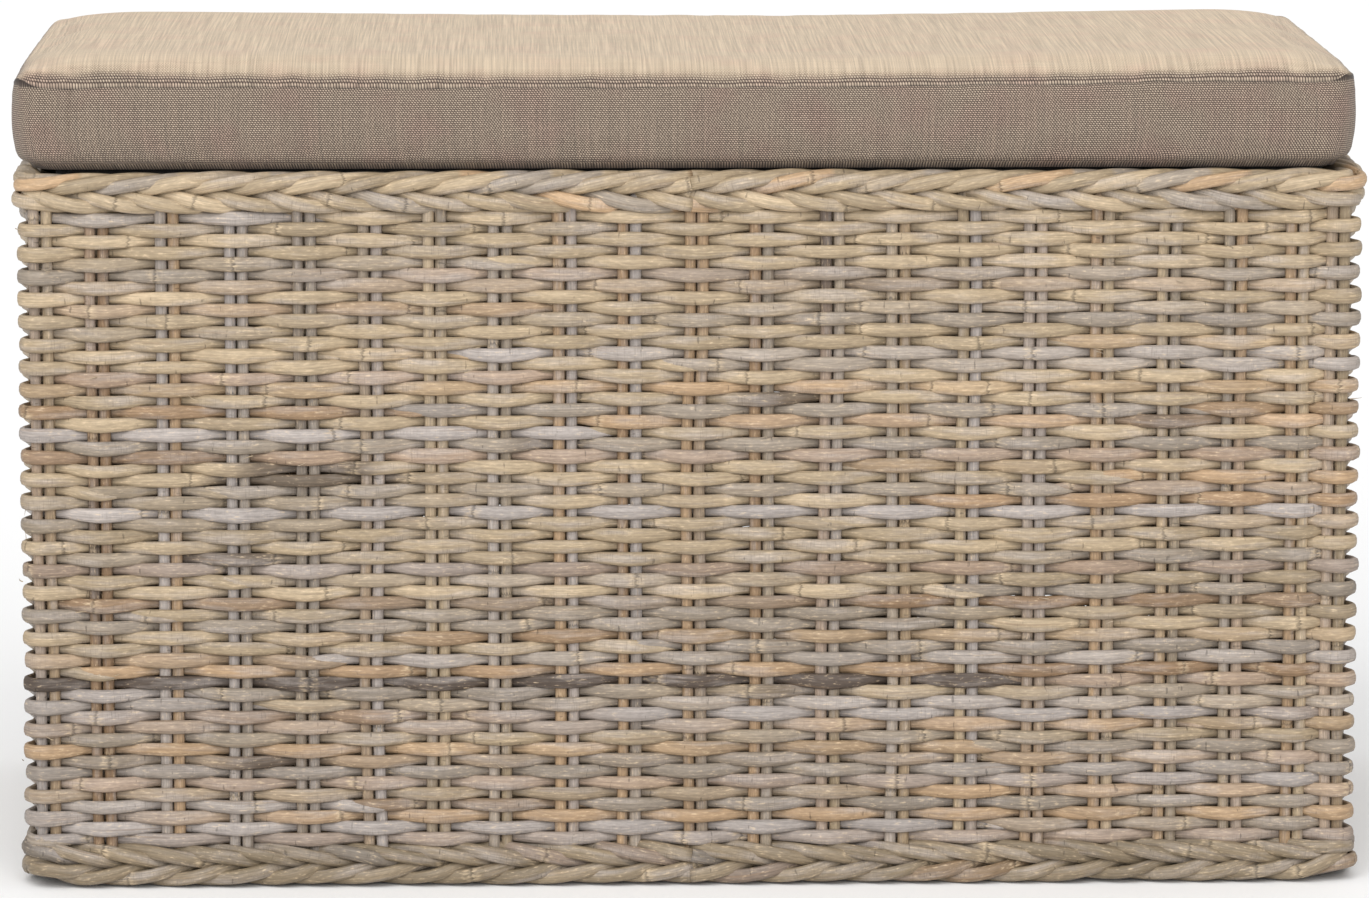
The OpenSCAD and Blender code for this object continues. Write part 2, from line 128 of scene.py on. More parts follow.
class Strands:
    """Collects round strands into one mesh, with a colour and a place along and around each."""

    def __init__(self, sides, squareness=1.0):
        self.sides, self.squareness = sides, squareness
        self.points, self.quads, self.caps, self.tints, self.grains = [], [], [], [], []
        self.count = 0

    def add(self, path, outward, half_depth, half_height, tint):
        """A strand along path. Its section is half_depth along outward and half_height across it."""
        steps = np.gradient(path, axis=0)
        along = unit(steps)
        outward = unit(outward - (outward * along).sum(1)[:, None] * along)
        across = np.cross(outward, along)
        turn = (np.arange(self.sides) + 0.5) * 2 * pi / self.sides
        flat_cos = np.sign(np.cos(turn)) * np.abs(np.cos(turn)) ** self.squareness
        depth = np.broadcast_to(half_depth, len(path))[:, None] * flat_cos
        height = np.broadcast_to(half_height, len(path))[:, None] * np.sin(turn)
        rings = path[:, None] + outward[:, None] * depth[..., None] + across[:, None] * height[..., None]
        travel = np.concatenate([[0], np.cumsum(np.linalg.norm(np.diff(path, axis=0), axis=1))])
        start = rng.uniform(0, 40)
        place = np.broadcast_to((start + travel)[:, None], depth.shape)
        self.grains.append(np.stack([place, depth, height + start], -1).reshape(-1, 3))
        self.points.append(rings.reshape(-1, 3))
        self.tints.append(np.repeat(tint, self.sides, axis=0))
        first = self.count + np.arange(len(path))[:, None] * self.sides
        here = first + np.arange(self.sides)
        after = first + (np.arange(self.sides) + 1) % self.sides
        quads = np.stack([here[:-1], here[1:], after[1:], after[:-1]], -1)
        self.quads.append(quads.reshape(-1, 4))
        self.caps.append(np.stack([here[0], here[-1][::-1]]))
        self.count += len(path) * self.sides

    def piece(self, name, material, slot, replaced=(), body="basket"):
        """Joins the strands into one piece of the body."""
        points = np.concatenate(self.points)
        mesh = flat_mesh(name, points, [np.concatenate(self.quads), np.concatenate(self.caps)])
        tints = np.concatenate(self.tints)
        colours = np.concatenate([tints, np.ones((len(tints), 1))], 1)
        add_attribute(mesh, "tint", "FLOAT_COLOR", "POINT", colours)
        add_attribute(mesh, "grain", "FLOAT_VECTOR", "POINT", np.concatenate(self.grains))
        add_piece(name, mesh, material, body, replaced)


def ease(share):
    """Turns an even run from 0 to 1 into one that starts and ends gently."""
    return share * share * (3 - 2 * share)


def hump(distance, reach):
    """1 at no distance, falling smoothly to nearly 0 at twice the reach."""
    return np.exp(-((distance / reach) ** 2))


def wander(places, pitch, size):
    """A smooth random curve over places, with a new value every pitch."""
    first = places.min() - pitch
    knots = np.arange(first, places.max() + 2 * pitch, pitch)
    values = rng.normal(0, size, len(knots))
    share = (places - first) / pitch
    index = np.clip(share.astype(int), 0, len(knots) - 2)
    blend = ease(share - index)
    return values[index] * (1 - blend) + values[index + 1] * blend


def strand_tint(places, shares):
    """Colours along one strand: a base colour, a tone for each internode and slow changes."""
    base = RATTANS[rng.choice(len(RATTANS), p=shares)]
    second = RATTANS[rng.choice(len(RATTANS), p=shares)]
    tone = 1 + wander(places, rng.uniform(0.10, 0.25), 0.07)
    blend = np.clip(0.25 + wander(places, 0.22, 0.35), 0, 0.9)[:, None]
    stain = np.clip(wander(places, 0.10, 1.0) - STAIN_START, 0, 0.8)[:, None]
    colour = base * (1 - blend) + second * blend
    return (colour * (1 - stain) + BARK * stain) * tone[:, None]


class Ring:
    """A rounded rectangle seen from above, measured anticlockwise from the middle of the front."""

    def __init__(self, half_x, half_y, radius):
        quarter = np.linspace(0, pi / 2, 13)
        x, y, angle = [0.0], [-half_y], [-pi / 2]
        for sign_x, sign_y, start in [(1, -1, -pi / 2), (1, 1, 0), (-1, 1, pi / 2), (-1, -1, pi)]:
            turned = start + quarter
            x += list(sign_x * (half_x - radius) + radius * np.cos(turned))
            y += list(sign_y * (half_y - radius) + radius * np.sin(turned))
            angle += list(turned)
        self.x = np.array(x + [0.0])
        self.y = np.array(y + [-half_y])
        self.angle = np.array(angle + [3 * pi / 2])
        self.travel = np.concatenate([[0], np.cumsum(np.hypot(np.diff(self.x), np.diff(self.y)))])
        self.length = self.travel[-1]
        self.corner = (self.travel[1] + self.travel[len(quarter)]) / 2

    def near_corner(self, places, reach):
        """1 at the ring's four corners, falling to nearly 0 at twice the reach."""
        from_middle = np.minimum(places % (self.length / 2), -places % (self.length / 2))
        return hump(from_middle - self.corner, reach)

    def at(self, places, out, height):
        """Points at places along the ring, moved out, and the outward directions there."""
        wrapped = places % self.length
        angle = np.interp(wrapped, self.travel, self.angle)
        outward = np.stack([np.cos(angle), np.sin(angle), np.zeros(len(places))], 1)
        x = np.interp(wrapped, self.travel, self.x) + outward[:, 0] * out
        y = np.interp(wrapped, self.travel, self.y) + outward[:, 1] * out
        return np.stack([x, y, np.broadcast_to(height, len(places))], 1), outward


# ---- materials

class Surface:
    """A short way to write a node material."""

    def __init__(self, name):
        self.material = bpy.data.materials.new(name)
        self.material.use_nodes = True
        self.tree = self.material.node_tree
        self.shader = self.tree.nodes["Principled BSDF"]

    def feed(self, socket, value):
        if isinstance(value, bpy.types.NodeSocket):
            self.tree.links.new(value, socket)
        else:
            socket.default_value = value

    def put(self, kind, inputs=(), **settings):
        node = self.tree.nodes.new(kind)
        for key, value in settings.items():
            setattr(node, key, value)
        for key, value in dict(inputs).items():
            self.feed(node.inputs[key], value)
        return node

    def maths(self, operation, *values):
        node = self.put("ShaderNodeMath", enumerate(values), operation=operation)
        return node.outputs[0]

    def times(self, first, second):
        return self.maths("MULTIPLY", first, second)

    def plus(self, first, second):
        return self.maths("ADD", first, second)

    def minus(self, first, second):
        return self.maths("SUBTRACT", first, second)

    def most(self, first, second):
        return self.maths("MAXIMUM", first, second)

    def attribute(self, name, output="Vector"):
        return self.put("ShaderNodeAttribute", attribute_name=name).outputs[output]

    def where(self):
        return self.put("ShaderNodeTexCoord").outputs["Object"]

    def parts(self, vector):
        return self.put("ShaderNodeSeparateXYZ", {0: vector}).outputs

    def facing(self):
        """The three parts of the direction that the surface faces."""
        return self.parts(self.put("ShaderNodeNewGeometry").outputs["Normal"])

    def wave(self, place, pitch):
        return self.maths("SINE", self.times(place, 2 * pi / pitch))

    def noise(self, vector, scale, detail=2.0, rough=0.5):
        """Noise with one scale, or with its own scale along each of three directions."""
        if isinstance(scale, tuple):
            stretch = self.put("ShaderNodeVectorMath", {0: vector, 1: scale}, operation="MULTIPLY")
            vector, scale = stretch.outputs[0], 1.0
        inputs = {"Vector": vector, "Scale": scale, "Detail": detail, "Roughness": rough}
        return self.put("ShaderNodeTexNoise", inputs).outputs["Fac"]

    def cells(self, place, scale):
        """Distance to the nearest of a random row of points along one direction, in cells."""
        node = self.put("ShaderNodeTexVoronoi", {"W": place, "Scale": scale}, voronoi_dimensions="1D")
        return node.outputs["Distance"]

    def ramp(self, value, low, high, start=0.0, end=1.0):
        inputs = {0: value, 1: low, 2: high, 3: start, 4: end}
        return self.put("ShaderNodeMapRange", inputs).outputs[0]

    def mix(self, factor, first, second, blend_type="MIX"):
        node = self.put("ShaderNodeMix", data_type="RGBA", blend_type=blend_type)
        for index, value in {0: factor, 6: first, 7: second}.items():
            self.feed(node.inputs[index], value)
        return node.outputs[2]

    def tone(self, colour, value):
        """The colour times a grey value."""
        grey = self.put("ShaderNodeCombineColor", {0: value, 1: value, 2: value}).outputs[0]
        return self.mix(1.0, colour, grey, "MULTIPLY")

    def finish(self, colour, roughness, height=None, depth=0.2 * MM, **constants):
        """Ends the material. depth is the height in metres that a height of 1 stands for."""
        self.feed(self.shader.inputs["Base Color"], colour)
        self.feed(self.shader.inputs["Roughness"], roughness)
        for name, value in constants.items():
            self.shader.inputs[name.replace("_", " ")].default_value = value
        if height is not None:
            bump = self.put("ShaderNodeBump", {"Height": height, "Distance": depth, "Strength": 1.0})
            self.feed(self.shader.inputs["Normal"], bump.outputs[0])
        return self.material


def rattan_material(name, roughness=0.52):
    """Peeled cane: fibres and flecks along it, scars at its nodes, cracks and weathered patches."""
    s = Surface(name)
    grain = s.attribute("grain")
    tint = s.attribute("tint", "Color")
    fibres = s.noise(grain, (38, 1150, 1150), detail=3, rough=0.6)
    flecks = s.noise(grain, (210, 760, 760), detail=2, rough=0.6)
    streaks = s.noise(grain, (11, 420, 420), detail=2)
    patches = s.noise(grain, (20, 130, 130), detail=3, rough=0.6)
    checks = s.noise(grain, (1500, 110, 110), detail=1)
    cracks = s.noise(grain, (330, 90, 90), detail=2)
    ragged = s.maths("MULTIPLY_ADD", flecks, 0.006, s.parts(grain)[0])
    scar = s.cells(ragged, 4.6)
    scar_line = s.ramp(scar, 0.002, 0.006, 1.0, 0.0)
    scar_pale = s.times(s.ramp(scar, 0.012, 0.030, 1.0, 0.0), s.ramp(flecks, 0.4, 0.6))
    weathered = s.mix(s.ramp(patches, 0.48, 0.70, 0.0, 0.55), tint, rgba(LILAC * 1.08))
    brown = s.mix(s.ramp(streaks, 0.60, 0.78, 0.0, 0.45), weathered, rgba(UMBER * 0.85))
    # Pale bleached flecks along the cane.
    bleach_and_top_light = s.mix(s.ramp(flecks, 0.60, 0.74, 0.0, 0.55), brown, rgba(STRAW * 1.35))
    scarred = s.mix(s.times(scar_pale, 0.5), bleach_and_top_light, rgba(STRAW * 1.25))
    light = s.times(s.ramp(fibres, 0.3, 0.7, 0.76, 1.20), s.ramp(flecks, 0.3, 0.7, 0.86, 1.14))
    checked = s.times(s.ramp(checks, 0.55, 0.75), s.ramp(patches, 0.45, 0.6))
    crack = s.ramp(cracks, 0.69, 0.74)
    dark = s.most(s.times(scar_line, 0.42), s.times(crack, 0.42))
    dark = s.most(dark, s.times(checked, 0.22))
    light = s.times(light, s.minus(1.0, dark))
    height = s.plus(s.times(fibres, 0.6), s.times(streaks, 0.6))
    height = s.minus(height, s.times(dark, 0.9))
    height = s.plus(height, s.times(scar_pale, 0.4))
    rough = s.ramp(patches, 0.3, 0.7, roughness - 0.06, roughness + 0.14)
    return s.finish(s.tone(scarred, light), rough, height, 0.35 * MM, Specular_IOR_Level=0.35)


def pole_material():
    """Thick unpeeled pole: long fibres and a ring every 20 centimetres or so."""
    s = Surface("rattan_pole_skin")
    where = s.where()
    side, _, up = s.parts(where)
    fibres = s.noise(where, (420, 420, 9), detail=3)
    patches = s.noise(where, (20, 20, 6), detail=3)
    ring = s.ramp(s.cells(s.maths("MULTIPLY_ADD", side, 3.7, up), 5.0), 0.006, 0.02, 1.0, 0.0)
    colour = s.mix(s.ramp(patches, 0.35, 0.7), rgba(SAND * 0.8), rgba(UMBER * 0.75))
    light = s.times(s.ramp(fibres, 0.3, 0.7, 0.82, 1.08), s.ramp(ring, 0, 1, 1.0, 0.6))
    height = s.minus(fibres, s.times(ring, 1.2))
    return s.finish(s.tone(colour, light), s.ramp(fibres, 0.3, 0.7, 0.38, 0.55), height, 0.4 * MM)


def wood_material(name, light_tone, dark_tone, lengthwise="x"):
    """Sawn softwood with its grain along one direction."""
    s = Surface(name)
    where = s.where()
    scale = {"x": (3, 55, 55), "y": (55, 3, 55)}[lengthwise]
    waved = s.noise(where, tuple(v * 0.35 for v in scale), detail=1)
    rings = s.noise(where, scale, detail=2, rough=0.4)
    lines = s.maths("FRACT", s.times(s.plus(rings, waved), 7.0))
    late_wood = s.ramp(lines, 0.55, 1.0)
    pores = s.noise(where, tuple(v * 14 for v in scale), detail=2)
    colour = s.mix(late_wood, rgba(light_tone), rgba(dark_tone))
    light = s.ramp(pores, 0.3, 0.7, 0.88, 1.06)
    height = s.plus(pores, s.times(late_wood, 0.5))
    return s.finish(s.tone(colour, light), s.ramp(late_wood, 0, 1, 0.62, 0.50), height, 0.15 * MM)


def plywood_material(name, low, high, plies):
    """Birch plywood: a rotary-cut face, and plies of alternate tone on its edges."""
    s = Surface(name)
    where = s.where()
    face = s.ramp(s.maths("ABSOLUTE", s.facing()[2]), 0.6, 0.8)
    flames = s.noise(where, (4, 18, 4), detail=3)
    pores = s.noise(where, (60, 900, 60), detail=2)
    ply = s.ramp(s.parts(where)[2], low, high, 0.0, plies / 2)
    stripe = s.ramp(s.maths("PINGPONG", ply, 0.5), 0.2, 0.3)
    edge = s.mix(stripe, paint(190, 165, 128), paint(132, 101, 68))
    front = s.mix(s.ramp(flames, 0.4, 0.62), paint(188, 166, 132), paint(168, 141, 105))
    colour = s.mix(face, edge, front)
    height = s.plus(pores, s.times(stripe, 0.6))
    return s.finish(s.tone(colour, s.ramp(pores, 0.3, 0.7, 0.90, 1.05)), 0.55, height, 0.12 * MM)


def steel_material():
    """Zinc-plated pressed steel with a faint spangle and rubbed patches."""
    s = Surface("zinc_plate")
    where = s.where()
    spangle = s.noise(where, 260, detail=3)
    brushed = s.noise(where, (900, 60, 900), detail=2)
    # Rubbed patches of worn plating.
    wear_and_top_light = s.noise(where, 45, detail=4)
    colour = s.mix(s.ramp(spangle, 0.35, 0.65), paint(176, 180, 184), paint(206, 208, 208))
    colour = s.mix(s.ramp(wear_and_top_light, 0.6, 0.75, 0.0, 0.5), colour, paint(150, 146, 132))
    rough = s.ramp(s.plus(brushed, wear_and_top_light), 0.7, 1.3, 0.28, 0.52)
    return s.finish(colour, rough, s.plus(brushed, spangle), 0.03 * MM, Metallic=1.0)


def moulded_material(name, colour, roughness, coarse):
    """Moulded rubber or nylon, with a fine spark-eroded texture and dusty high spots."""
    s = Surface(name)
    where = s.where()
    texture = s.noise(where, coarse, detail=4)
    dust = s.noise(where, 70, detail=3)
    tone = s.mix(s.ramp(dust, 0.45, 0.75, 0.0, 0.3), rgba(colour), rgba(colour * 2.2 + 0.02))
    rough = s.ramp(texture, 0.3, 0.7, roughness - 0.08, roughness + 0.08)
    return s.finish(tone, rough, texture, 0.06 * MM)


def fuzz_material(name, colour, pitch):
    """The face of a hook or loop strip: rows of tiny tufts."""
    s = Surface(name)
    where = s.where()
    parts = s.parts(where)
    tufts = s.times(s.wave(parts[0], pitch), s.wave(parts[1], pitch))
    mess = s.noise(where, 1800, detail=2)
    height = s.plus(tufts, mess)
    light = s.ramp(height, -0.4, 1.4, 0.6, 1.3)
    return s.finish(s.tone(rgba(colour), light), 0.85, height, 0.5 * MM, Sheen_Weight=0.3)


def black_cloth_material(name, pitch=0.7 * MM):
    """Black woven dust cloth. The threads follow the sheet's own flat coordinates."""
    s = Surface(name)
    flat = s.parts(s.attribute("flat"))
    weave = s.times(s.wave(flat[0], pitch), s.wave(flat[1], pitch))
    slubs = s.noise(s.attribute("flat"), (60, 900, 60), detail=2)
    lint = s.noise(s.attribute("flat"), 240, detail=3)
    light = s.plus(s.ramp(weave, -1, 1, 0.55, 1.2), s.ramp(slubs, 0.55, 0.8, 0.0, 0.6))
    colour = s.mix(s.ramp(lint, 0.66, 0.72, 0.0, 0.35), paint(38, 36, 35), paint(110, 104, 98))
    return s.finish(s.tone(colour, light), 0.88, weave, 0.15 * MM, Sheen_Weight=0.25)


def zip_tape_material(middle, coil_half):
    """Woven zip tape, with the turns of the coil down its middle."""
    s = Surface("zip_tape_weave")
    where = s.where()
    parts = s.parts(where)
    off = s.maths("ABSOLUTE", s.minus(parts[2], middle))
    on_coil = s.ramp(off, coil_half, coil_half + 0.2 * MM, 1.0, 0.0)
    turns = s.wave(parts[0], 1.4 * MM)
    twill = s.wave(s.plus(parts[0], off), 1.0 * MM)
    height = s.plus(s.times(turns, on_coil), s.times(twill, 0.4))
    colour = s.mix(on_coil, paint(142, 122, 104), paint(120, 102, 86))
    return s.finish(s.tone(colour, s.ramp(height, -1, 1, 0.7, 1.15)), 0.6, height, 0.3 * MM)


def fabric_material(thread=1.78 * MM):
    """Taupe upholstery twill: pale floats on a darker ground, with slubs along the warp. Faces that point
    up are painted much lighter, as painted light from above, and the seam and the band's join get painted
    shade.
    """
    s = Surface("cushion_twill")
    cloth = s.attribute("cloth")
    u, v, _ = s.parts(cloth)
    seam = s.attribute("seam", "Fac")
    row_place = s.maths("DIVIDE", v, thread * 0.78)
    row = s.maths("FLOOR", row_place)
    column_place = s.plus(s.maths("DIVIDE", u, thread), s.times(row, 0.60))
    in_row = s.minus(s.maths("FRACT", row_place), 0.5)
    in_column = s.minus(s.maths("FRACT", column_place), 0.5)
    along = s.minus(in_column, in_row)
    across = s.plus(in_column, in_row)
    far = s.plus(s.times(along, s.times(along, 0.32)), s.times(across, s.times(across, 0.68)))
    float_up = s.ramp(s.maths("SQRT", far), 0.20, 0.46, 1.0, 0.0)
    warp = s.noise(cloth, (800, 7, 1), detail=2, rough=0.7)
    weft = s.noise(cloth, (7, 620, 1), detail=2)
    patches = s.noise(cloth, 26, detail=3)
    lint = s.noise(cloth, 900, detail=2)
    # Painted light: the top and other upward faces get a much lighter ground and lighter floats, standing
    # in for the stronger light from above.
    top_light_mask = s.ramp(s.facing()[2], 0.70, 0.995)
    ground = s.mix(s.ramp(warp, 0.35, 0.65), paint(58, 45, 38), paint(74, 58, 49))
    wear_and_top_light = s.mix(s.ramp(warp, 0.35, 0.65), paint(180, 158, 132), paint(208, 186, 157))
    ground = s.mix(top_light_mask, ground, wear_and_top_light)
    pale = s.mix(s.ramp(patches, 0.45, 0.7), paint(192, 174, 153), paint(192, 165, 148))
    bleach_and_top_light = s.mix(s.ramp(patches, 0.48, 0.66), paint(222, 204, 178), paint(222, 192, 170))
    pale = s.mix(top_light_mask, pale, bleach_and_top_light)
    colour = s.mix(s.times(float_up, s.ramp(lint, 0.25, 0.6, 0.35, 1.0)), ground, pale)
    light = s.times(s.ramp(warp, 0.3, 0.7, 0.86, 1.10), s.ramp(weft, 0.3, 0.7, 0.94, 1.05))
    # Painted shade: darker along the seam's crease and the band's join, read from the seam attribute.
    light = s.times(light, s.ramp(seam, 0.0, 1.0, 1.0, 0.48))
    height = s.plus(float_up, s.times(warp, 0.5))
    return s.finish(s.tone(colour, light), 0.82, height, 0.22 * MM, Sheen_Weight=0.12)


# ---- the woven wall

SIDES = ("front", "back", "left", "right")


def union_box(*names):
    boxes = [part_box(name) for name in names]
    low = np.min([np.array(b[0]) for b in boxes], axis=0)
    high = np.max([np.array(b[1]) for b in boxes], axis=0)
    return low, high


wall_low, wall_high = union_box(*["weave_" + side for side in SIDES])
stake_x = sum(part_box("stakes_right")[i].x for i in (0, 1)) / 2
stake_y = sum(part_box("stakes_back")[i].y for i in (0, 1)) / 2
WALL_OUT = (3.6 * MM, 2.0 * MM)
WALL_CORNER_R = 6 * MM
wall_ring = Ring(stake_x + WALL_OUT[0], stake_y + WALL_OUT[1], WALL_CORNER_R)

PAIR_PITCH = 42 * MM
END_PITCH = 41 * MM
STICK_GAP = 8.0 * MM
STICK_R = 3.65 * MM
STICK_DEPTH = 2.9 * MM
CORNER_PAIR = stake_x - 5 * MM
ROWS = 56
WEFT_SWING = 5.3 * MM
WEFT_CREST = 0.93
WEFT_HALF_DEPTH = 2.45 * MM
WEFT_HALF_HEIGHT = (3.30 * MM, 4.70 * MM)
SPLINTER_OUT = 8.2 * MM
CORNER_SWELL = (0.3, 2.2)
CORNER_SWELL_REACH = 9 * MM
ROW_PITCH = (wall_high[2] - wall_low[2]) / ROWS


def pair_places():
    """Where each pair of stakes stands along the wall's ring."""
    inner = np.arange(-9, 10) * PAIR_PITCH
    inner = inner + 5.5 * MM + 3 * MM * np.cos(2 * pi * (inner + 0.24) / 0.5)
    front = np.concatenate([[-CORNER_PAIR], inner, [CORNER_PAIR]])
    ends = np.arange(-4, 5) * END_PITCH
    quarter = wall_ring.length / 4
    places = [front, quarter + ends, 2 * quarter + front, 3 * quarter + ends]
    return np.sort(np.concatenate(places) % wall_ring.length)


PAIRS = pair_places()


def pair_number(places):
    """How many pairs lie before a place on the ring, with fractions between pairs."""
    wrapped = places % wall_ring.length
    known = np.concatenate([[PAIRS[-1] - wall_ring.length], PAIRS, [PAIRS[0] + wall_ring.length]])
    return np.interp(wrapped, known, np.arange(-1, len(PAIRS) + 1))


def at_pairs(number, values):
    """Values given at each pair, read smoothly in between."""
    index = np.floor(number).astype(int)
    blend = ease(number - index)
    return values[index % len(PAIRS)] * (1 - blend) + values[(index + 1) % len(PAIRS)] * blend


def row_lifts():
    """How far each row strays from level at each pair. Rows that touch stray nearly alike."""
    lifts = np.zeros((ROWS, len(PAIRS)))
    for row in range(1, ROWS):
        lifts[row] = 0.88 * lifts[row - 1] + rng.normal(0, 0.26 * MM, len(PAIRS))
    return lifts


def weave_row(strands, row, lifts):
    """One row round the basket, made of a few canes with overlapping tapered ends."""
    middle = wall_low[2] + (row + 0.5) * ROW_PITCH
    lift = lifts[row]
    swing = WEFT_SWING + rng.normal(0, 0.25 * MM, len(PAIRS))
    plump = rng.normal(1.0, 0.045, len(PAIRS))
    swell = rng.uniform(*CORNER_SWELL, len(PAIRS)) * MM
    low_share = np.clip((row / ROWS - 0.15) / 0.6, 0, 1)
    shares = np.array(SHARES_LOW) * (1 - low_share) + np.array(SHARES_HIGH) * low_share
    cuts = np.sort(rng.uniform(0, wall_ring.length, rng.integers(2, 5)))
    for cut, following in zip(cuts, [*cuts[1:], cuts[0] + wall_ring.length]):
        overlap = rng.uniform(25 * MM, 50 * MM)
        span = following - cut + overlap
        places = cut - overlap / 2 + np.linspace(0, span, max(12, int(span / (3.5 * MM))))
        number = pair_number(places)
        facing = np.arcsin(WEFT_CREST * np.cos(pi * (number + row))) / np.arcsin(WEFT_CREST)
        out = facing * at_pairs(number, swing)
        out = out + at_pairs(number, swell) * wall_ring.near_corner(places, CORNER_SWELL_REACH)
        from_end = np.minimum(places - places[0], places[-1] - places)
        taper = np.clip(from_end / (16 * MM), 0, 1)
        joint = np.clip(from_end / overlap, 0, 1)
        side = np.where(places < (places[0] + places[-1]) / 2, 1, -1)
        height = middle + at_pairs(number, lift) + side * (1 - joint) * 2.0 * MM
        fullness = (facing + 1) / 2
        behind, before = WEFT_HALF_HEIGHT
        half_height = (behind + (before - behind) * fullness) * at_pairs(number, plump)
        half_height = half_height * (0.30 + 0.70 * taper) * (0.62 + 0.38 * joint)
        half_depth = WEFT_HALF_DEPTH * (0.45 + 0.55 * taper)
        path, outward = wall_ring.at(places, out, height)
        # Lower rows are darker: painted shade for the little light that reaches the bottom of the wall.
        tint = strand_tint(places, shares) * (0.86 + 0.14 * low_share)
        strands.add(path, outward, half_depth, half_height, tint)


def weave(material):
    """The wall's rows, in bands that each stay a moderate mesh."""
    bands = 6
    lifts = row_lifts()
    for band in range(bands):
        strands = Strands(10, 0.85)
        first, last = band * ROWS // bands, (band + 1) * ROWS // bands
        for row in range(first, last):
            weave_row(strands, row, lifts)
        replaced = ["weave_" + side for side in SIDES] if band == 0 else ()
        strands.piece(f"weave_rows_{band + 1}", material, "rattan_weave", replaced)


def stakes(material):
    """The upright sticks, two in each pair."""
    strands = Strands(10)
    heights = np.linspace(wall_low[2] - 13 * MM, wall_high[2] + 13 * MM, 44)
    for place in PAIRS:
        lean = wander(heights, 0.12, 0.7 * MM)
        for side in (-0.5, 0.5):
            along = place + side * STICK_GAP + lean + wander(heights, 0.09, 0.15 * MM)
            path, outward = wall_ring.at(along, wander(heights, 0.1, 0.15 * MM), heights)
            tint = strand_tint(heights, SHARES_STAKE) * 0.92
            strands.add(path, outward, STICK_DEPTH, STICK_R * rng.uniform(0.95, 1.05), tint)
    strands.piece("stake_sticks", material, "rattan_stake", ["stakes_" + side for side in SIDES])


def frays(material, count=170):
    """Splinters that stand off the canes here and there."""
    strands = Strands(4)
    for _ in range(count):
        place = rng.uniform(0, wall_ring.length)
        height = rng.uniform(wall_low[2] + 10 * MM, wall_high[2] - 5 * MM)
        length = rng.uniform(3, 8) * MM
        share = np.linspace(0, 1, 6)
        along = place + share * length * rng.choice([-1, 1])
        rise = height + (share**1.5) * length * rng.uniform(-0.5, 0.8)
        out = SPLINTER_OUT + share * rng.uniform(0.2, 1.2) * MM
        path, outward = wall_ring.at(along, out, rise)
        size = (0.42 - 0.34 * share) * MM
        tint = np.repeat((STRAW * rng.uniform(0.8, 1.15))[None], len(share), axis=0)
        strands.add(path, outward, size, size, tint)
    strands.piece("cane_splinters", material, "rattan_weave")


# ---- the plaited borders

PLAIT_CANES = 7
PLAIT_REACH = 8.9 * MM
PLAIT_DEPTH = 7.4 * MM
PLAIT_TURNS = 12
PLAIT_OUT = (1.5 * MM, 0.5 * MM)
PLAIT_CORNER_R = 9 * MM
PLAIT_CORNER_REACH = 17 * MM
PLAIT_HALF_DEPTH = 3.0 * MM
PLAIT_HALF_HEIGHT = 4.5 * MM


def border(material, level, opening, tone, corner_lift):
    """A plait of canes that run in a figure of eight. opening is 1 where its arms open to the right. tone
    scales the canes' colours; the bottom plait's low tone is painted shade.
    """
    names = [f"{level}_border_{side}" for side in SIDES]
    low, high = union_box(*names)
    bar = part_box(f"{level}_border_right")
    half = (bar[1].x - bar[0].x) / 2
    ring = Ring(high[0] - half + PLAIT_OUT[0], high[1] - half + PLAIT_OUT[1], PLAIT_CORNER_R)
    middle = (low[2] + high[2]) / 2
    strands = Strands(10)
    places = np.linspace(0, ring.length, int(ring.length / (3.6 * MM)))
    for cane in range(PLAIT_CANES):
        phase = 2 * pi * (PLAIT_TURNS * places / ring.length + cane / PLAIT_CANES)
        phase = phase + wander(places, 0.05, 0.07) * ring_fade(places, ring.length)
        out = -opening * PLAIT_DEPTH * np.sin(2 * phase)
        reach = PLAIT_REACH * (1 + wander(places, 0.06, 0.05) * ring_fade(places, ring.length))
        corner = ring.near_corner(places, PLAIT_CORNER_REACH)
        height = middle + reach * np.cos(phase) * (1 - 0.2 * corner) + corner_lift * corner
        path, outward = ring.at(places, out, height)
        plump = 1 + wander(places, 0.07, 0.07) * ring_fade(places, ring.length)
        tint = plait_tint(phase) * tone
        strands.add(path, outward, PLAIT_HALF_DEPTH * plump, PLAIT_HALF_HEIGHT * plump, tint)
    strands.piece(f"{level}_plait", material, "rattan_plait", names)


def ring_fade(places, length):
    """0 where a closed strand meets itself, and 1 away from there."""
    return np.clip(np.minimum(places, length - places) / 0.03, 0, 1)


def plait_tint(phase):
    """A new cane colour each half period, changed where the strand is hidden behind the plait."""
    half = np.floor(phase / pi).astype(int)
    half = half - half.min()
    picks = rng.choice(len(RATTANS), size=half.max() + 1, p=SHARES_BORDER)
    tones = rng.normal(1.0, 0.07, half.max() + 1)
    return RATTANS[picks][half] * tones[half][:, None]


# ---- the cushion

cover_low, cover_high = [np.array(c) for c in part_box("cushion_cover")]
cloth_low, cloth_high = [np.array(c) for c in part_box("lid_cloth")]
tape_low, tape_high = [np.array(c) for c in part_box("zip_tape")]
COVER_MIDDLE = (cover_low + cover_high) / 2 + np.array([-3.5, 0, 0]) * MM
COVER_HALF = (cover_high - cover_low) / 2 - np.array([1.0, 0, 0]) * MM
CROWN = 11.5 * MM
CROWN_DIP = 3.5 * MM
ROLL_RISE = 6.0 * MM
ROLL_R = 7.5 * MM
CROWN_EDGE = 66 * MM
BAND_H = cover_high[2] - cover_low[2] - 13 * MM
SEAM_Z = cover_low[2] + BAND_H
SEAM_INSET = 2.0 * MM
BULGE = 2.0 * MM
BULGE_HALF = 22 * MM
FOOT_R = 9 * MM
SEAM_CORNER_R = (13 * MM, 50 * MM)
BAND_CORNER_R = (20 * MM, 50 * MM)
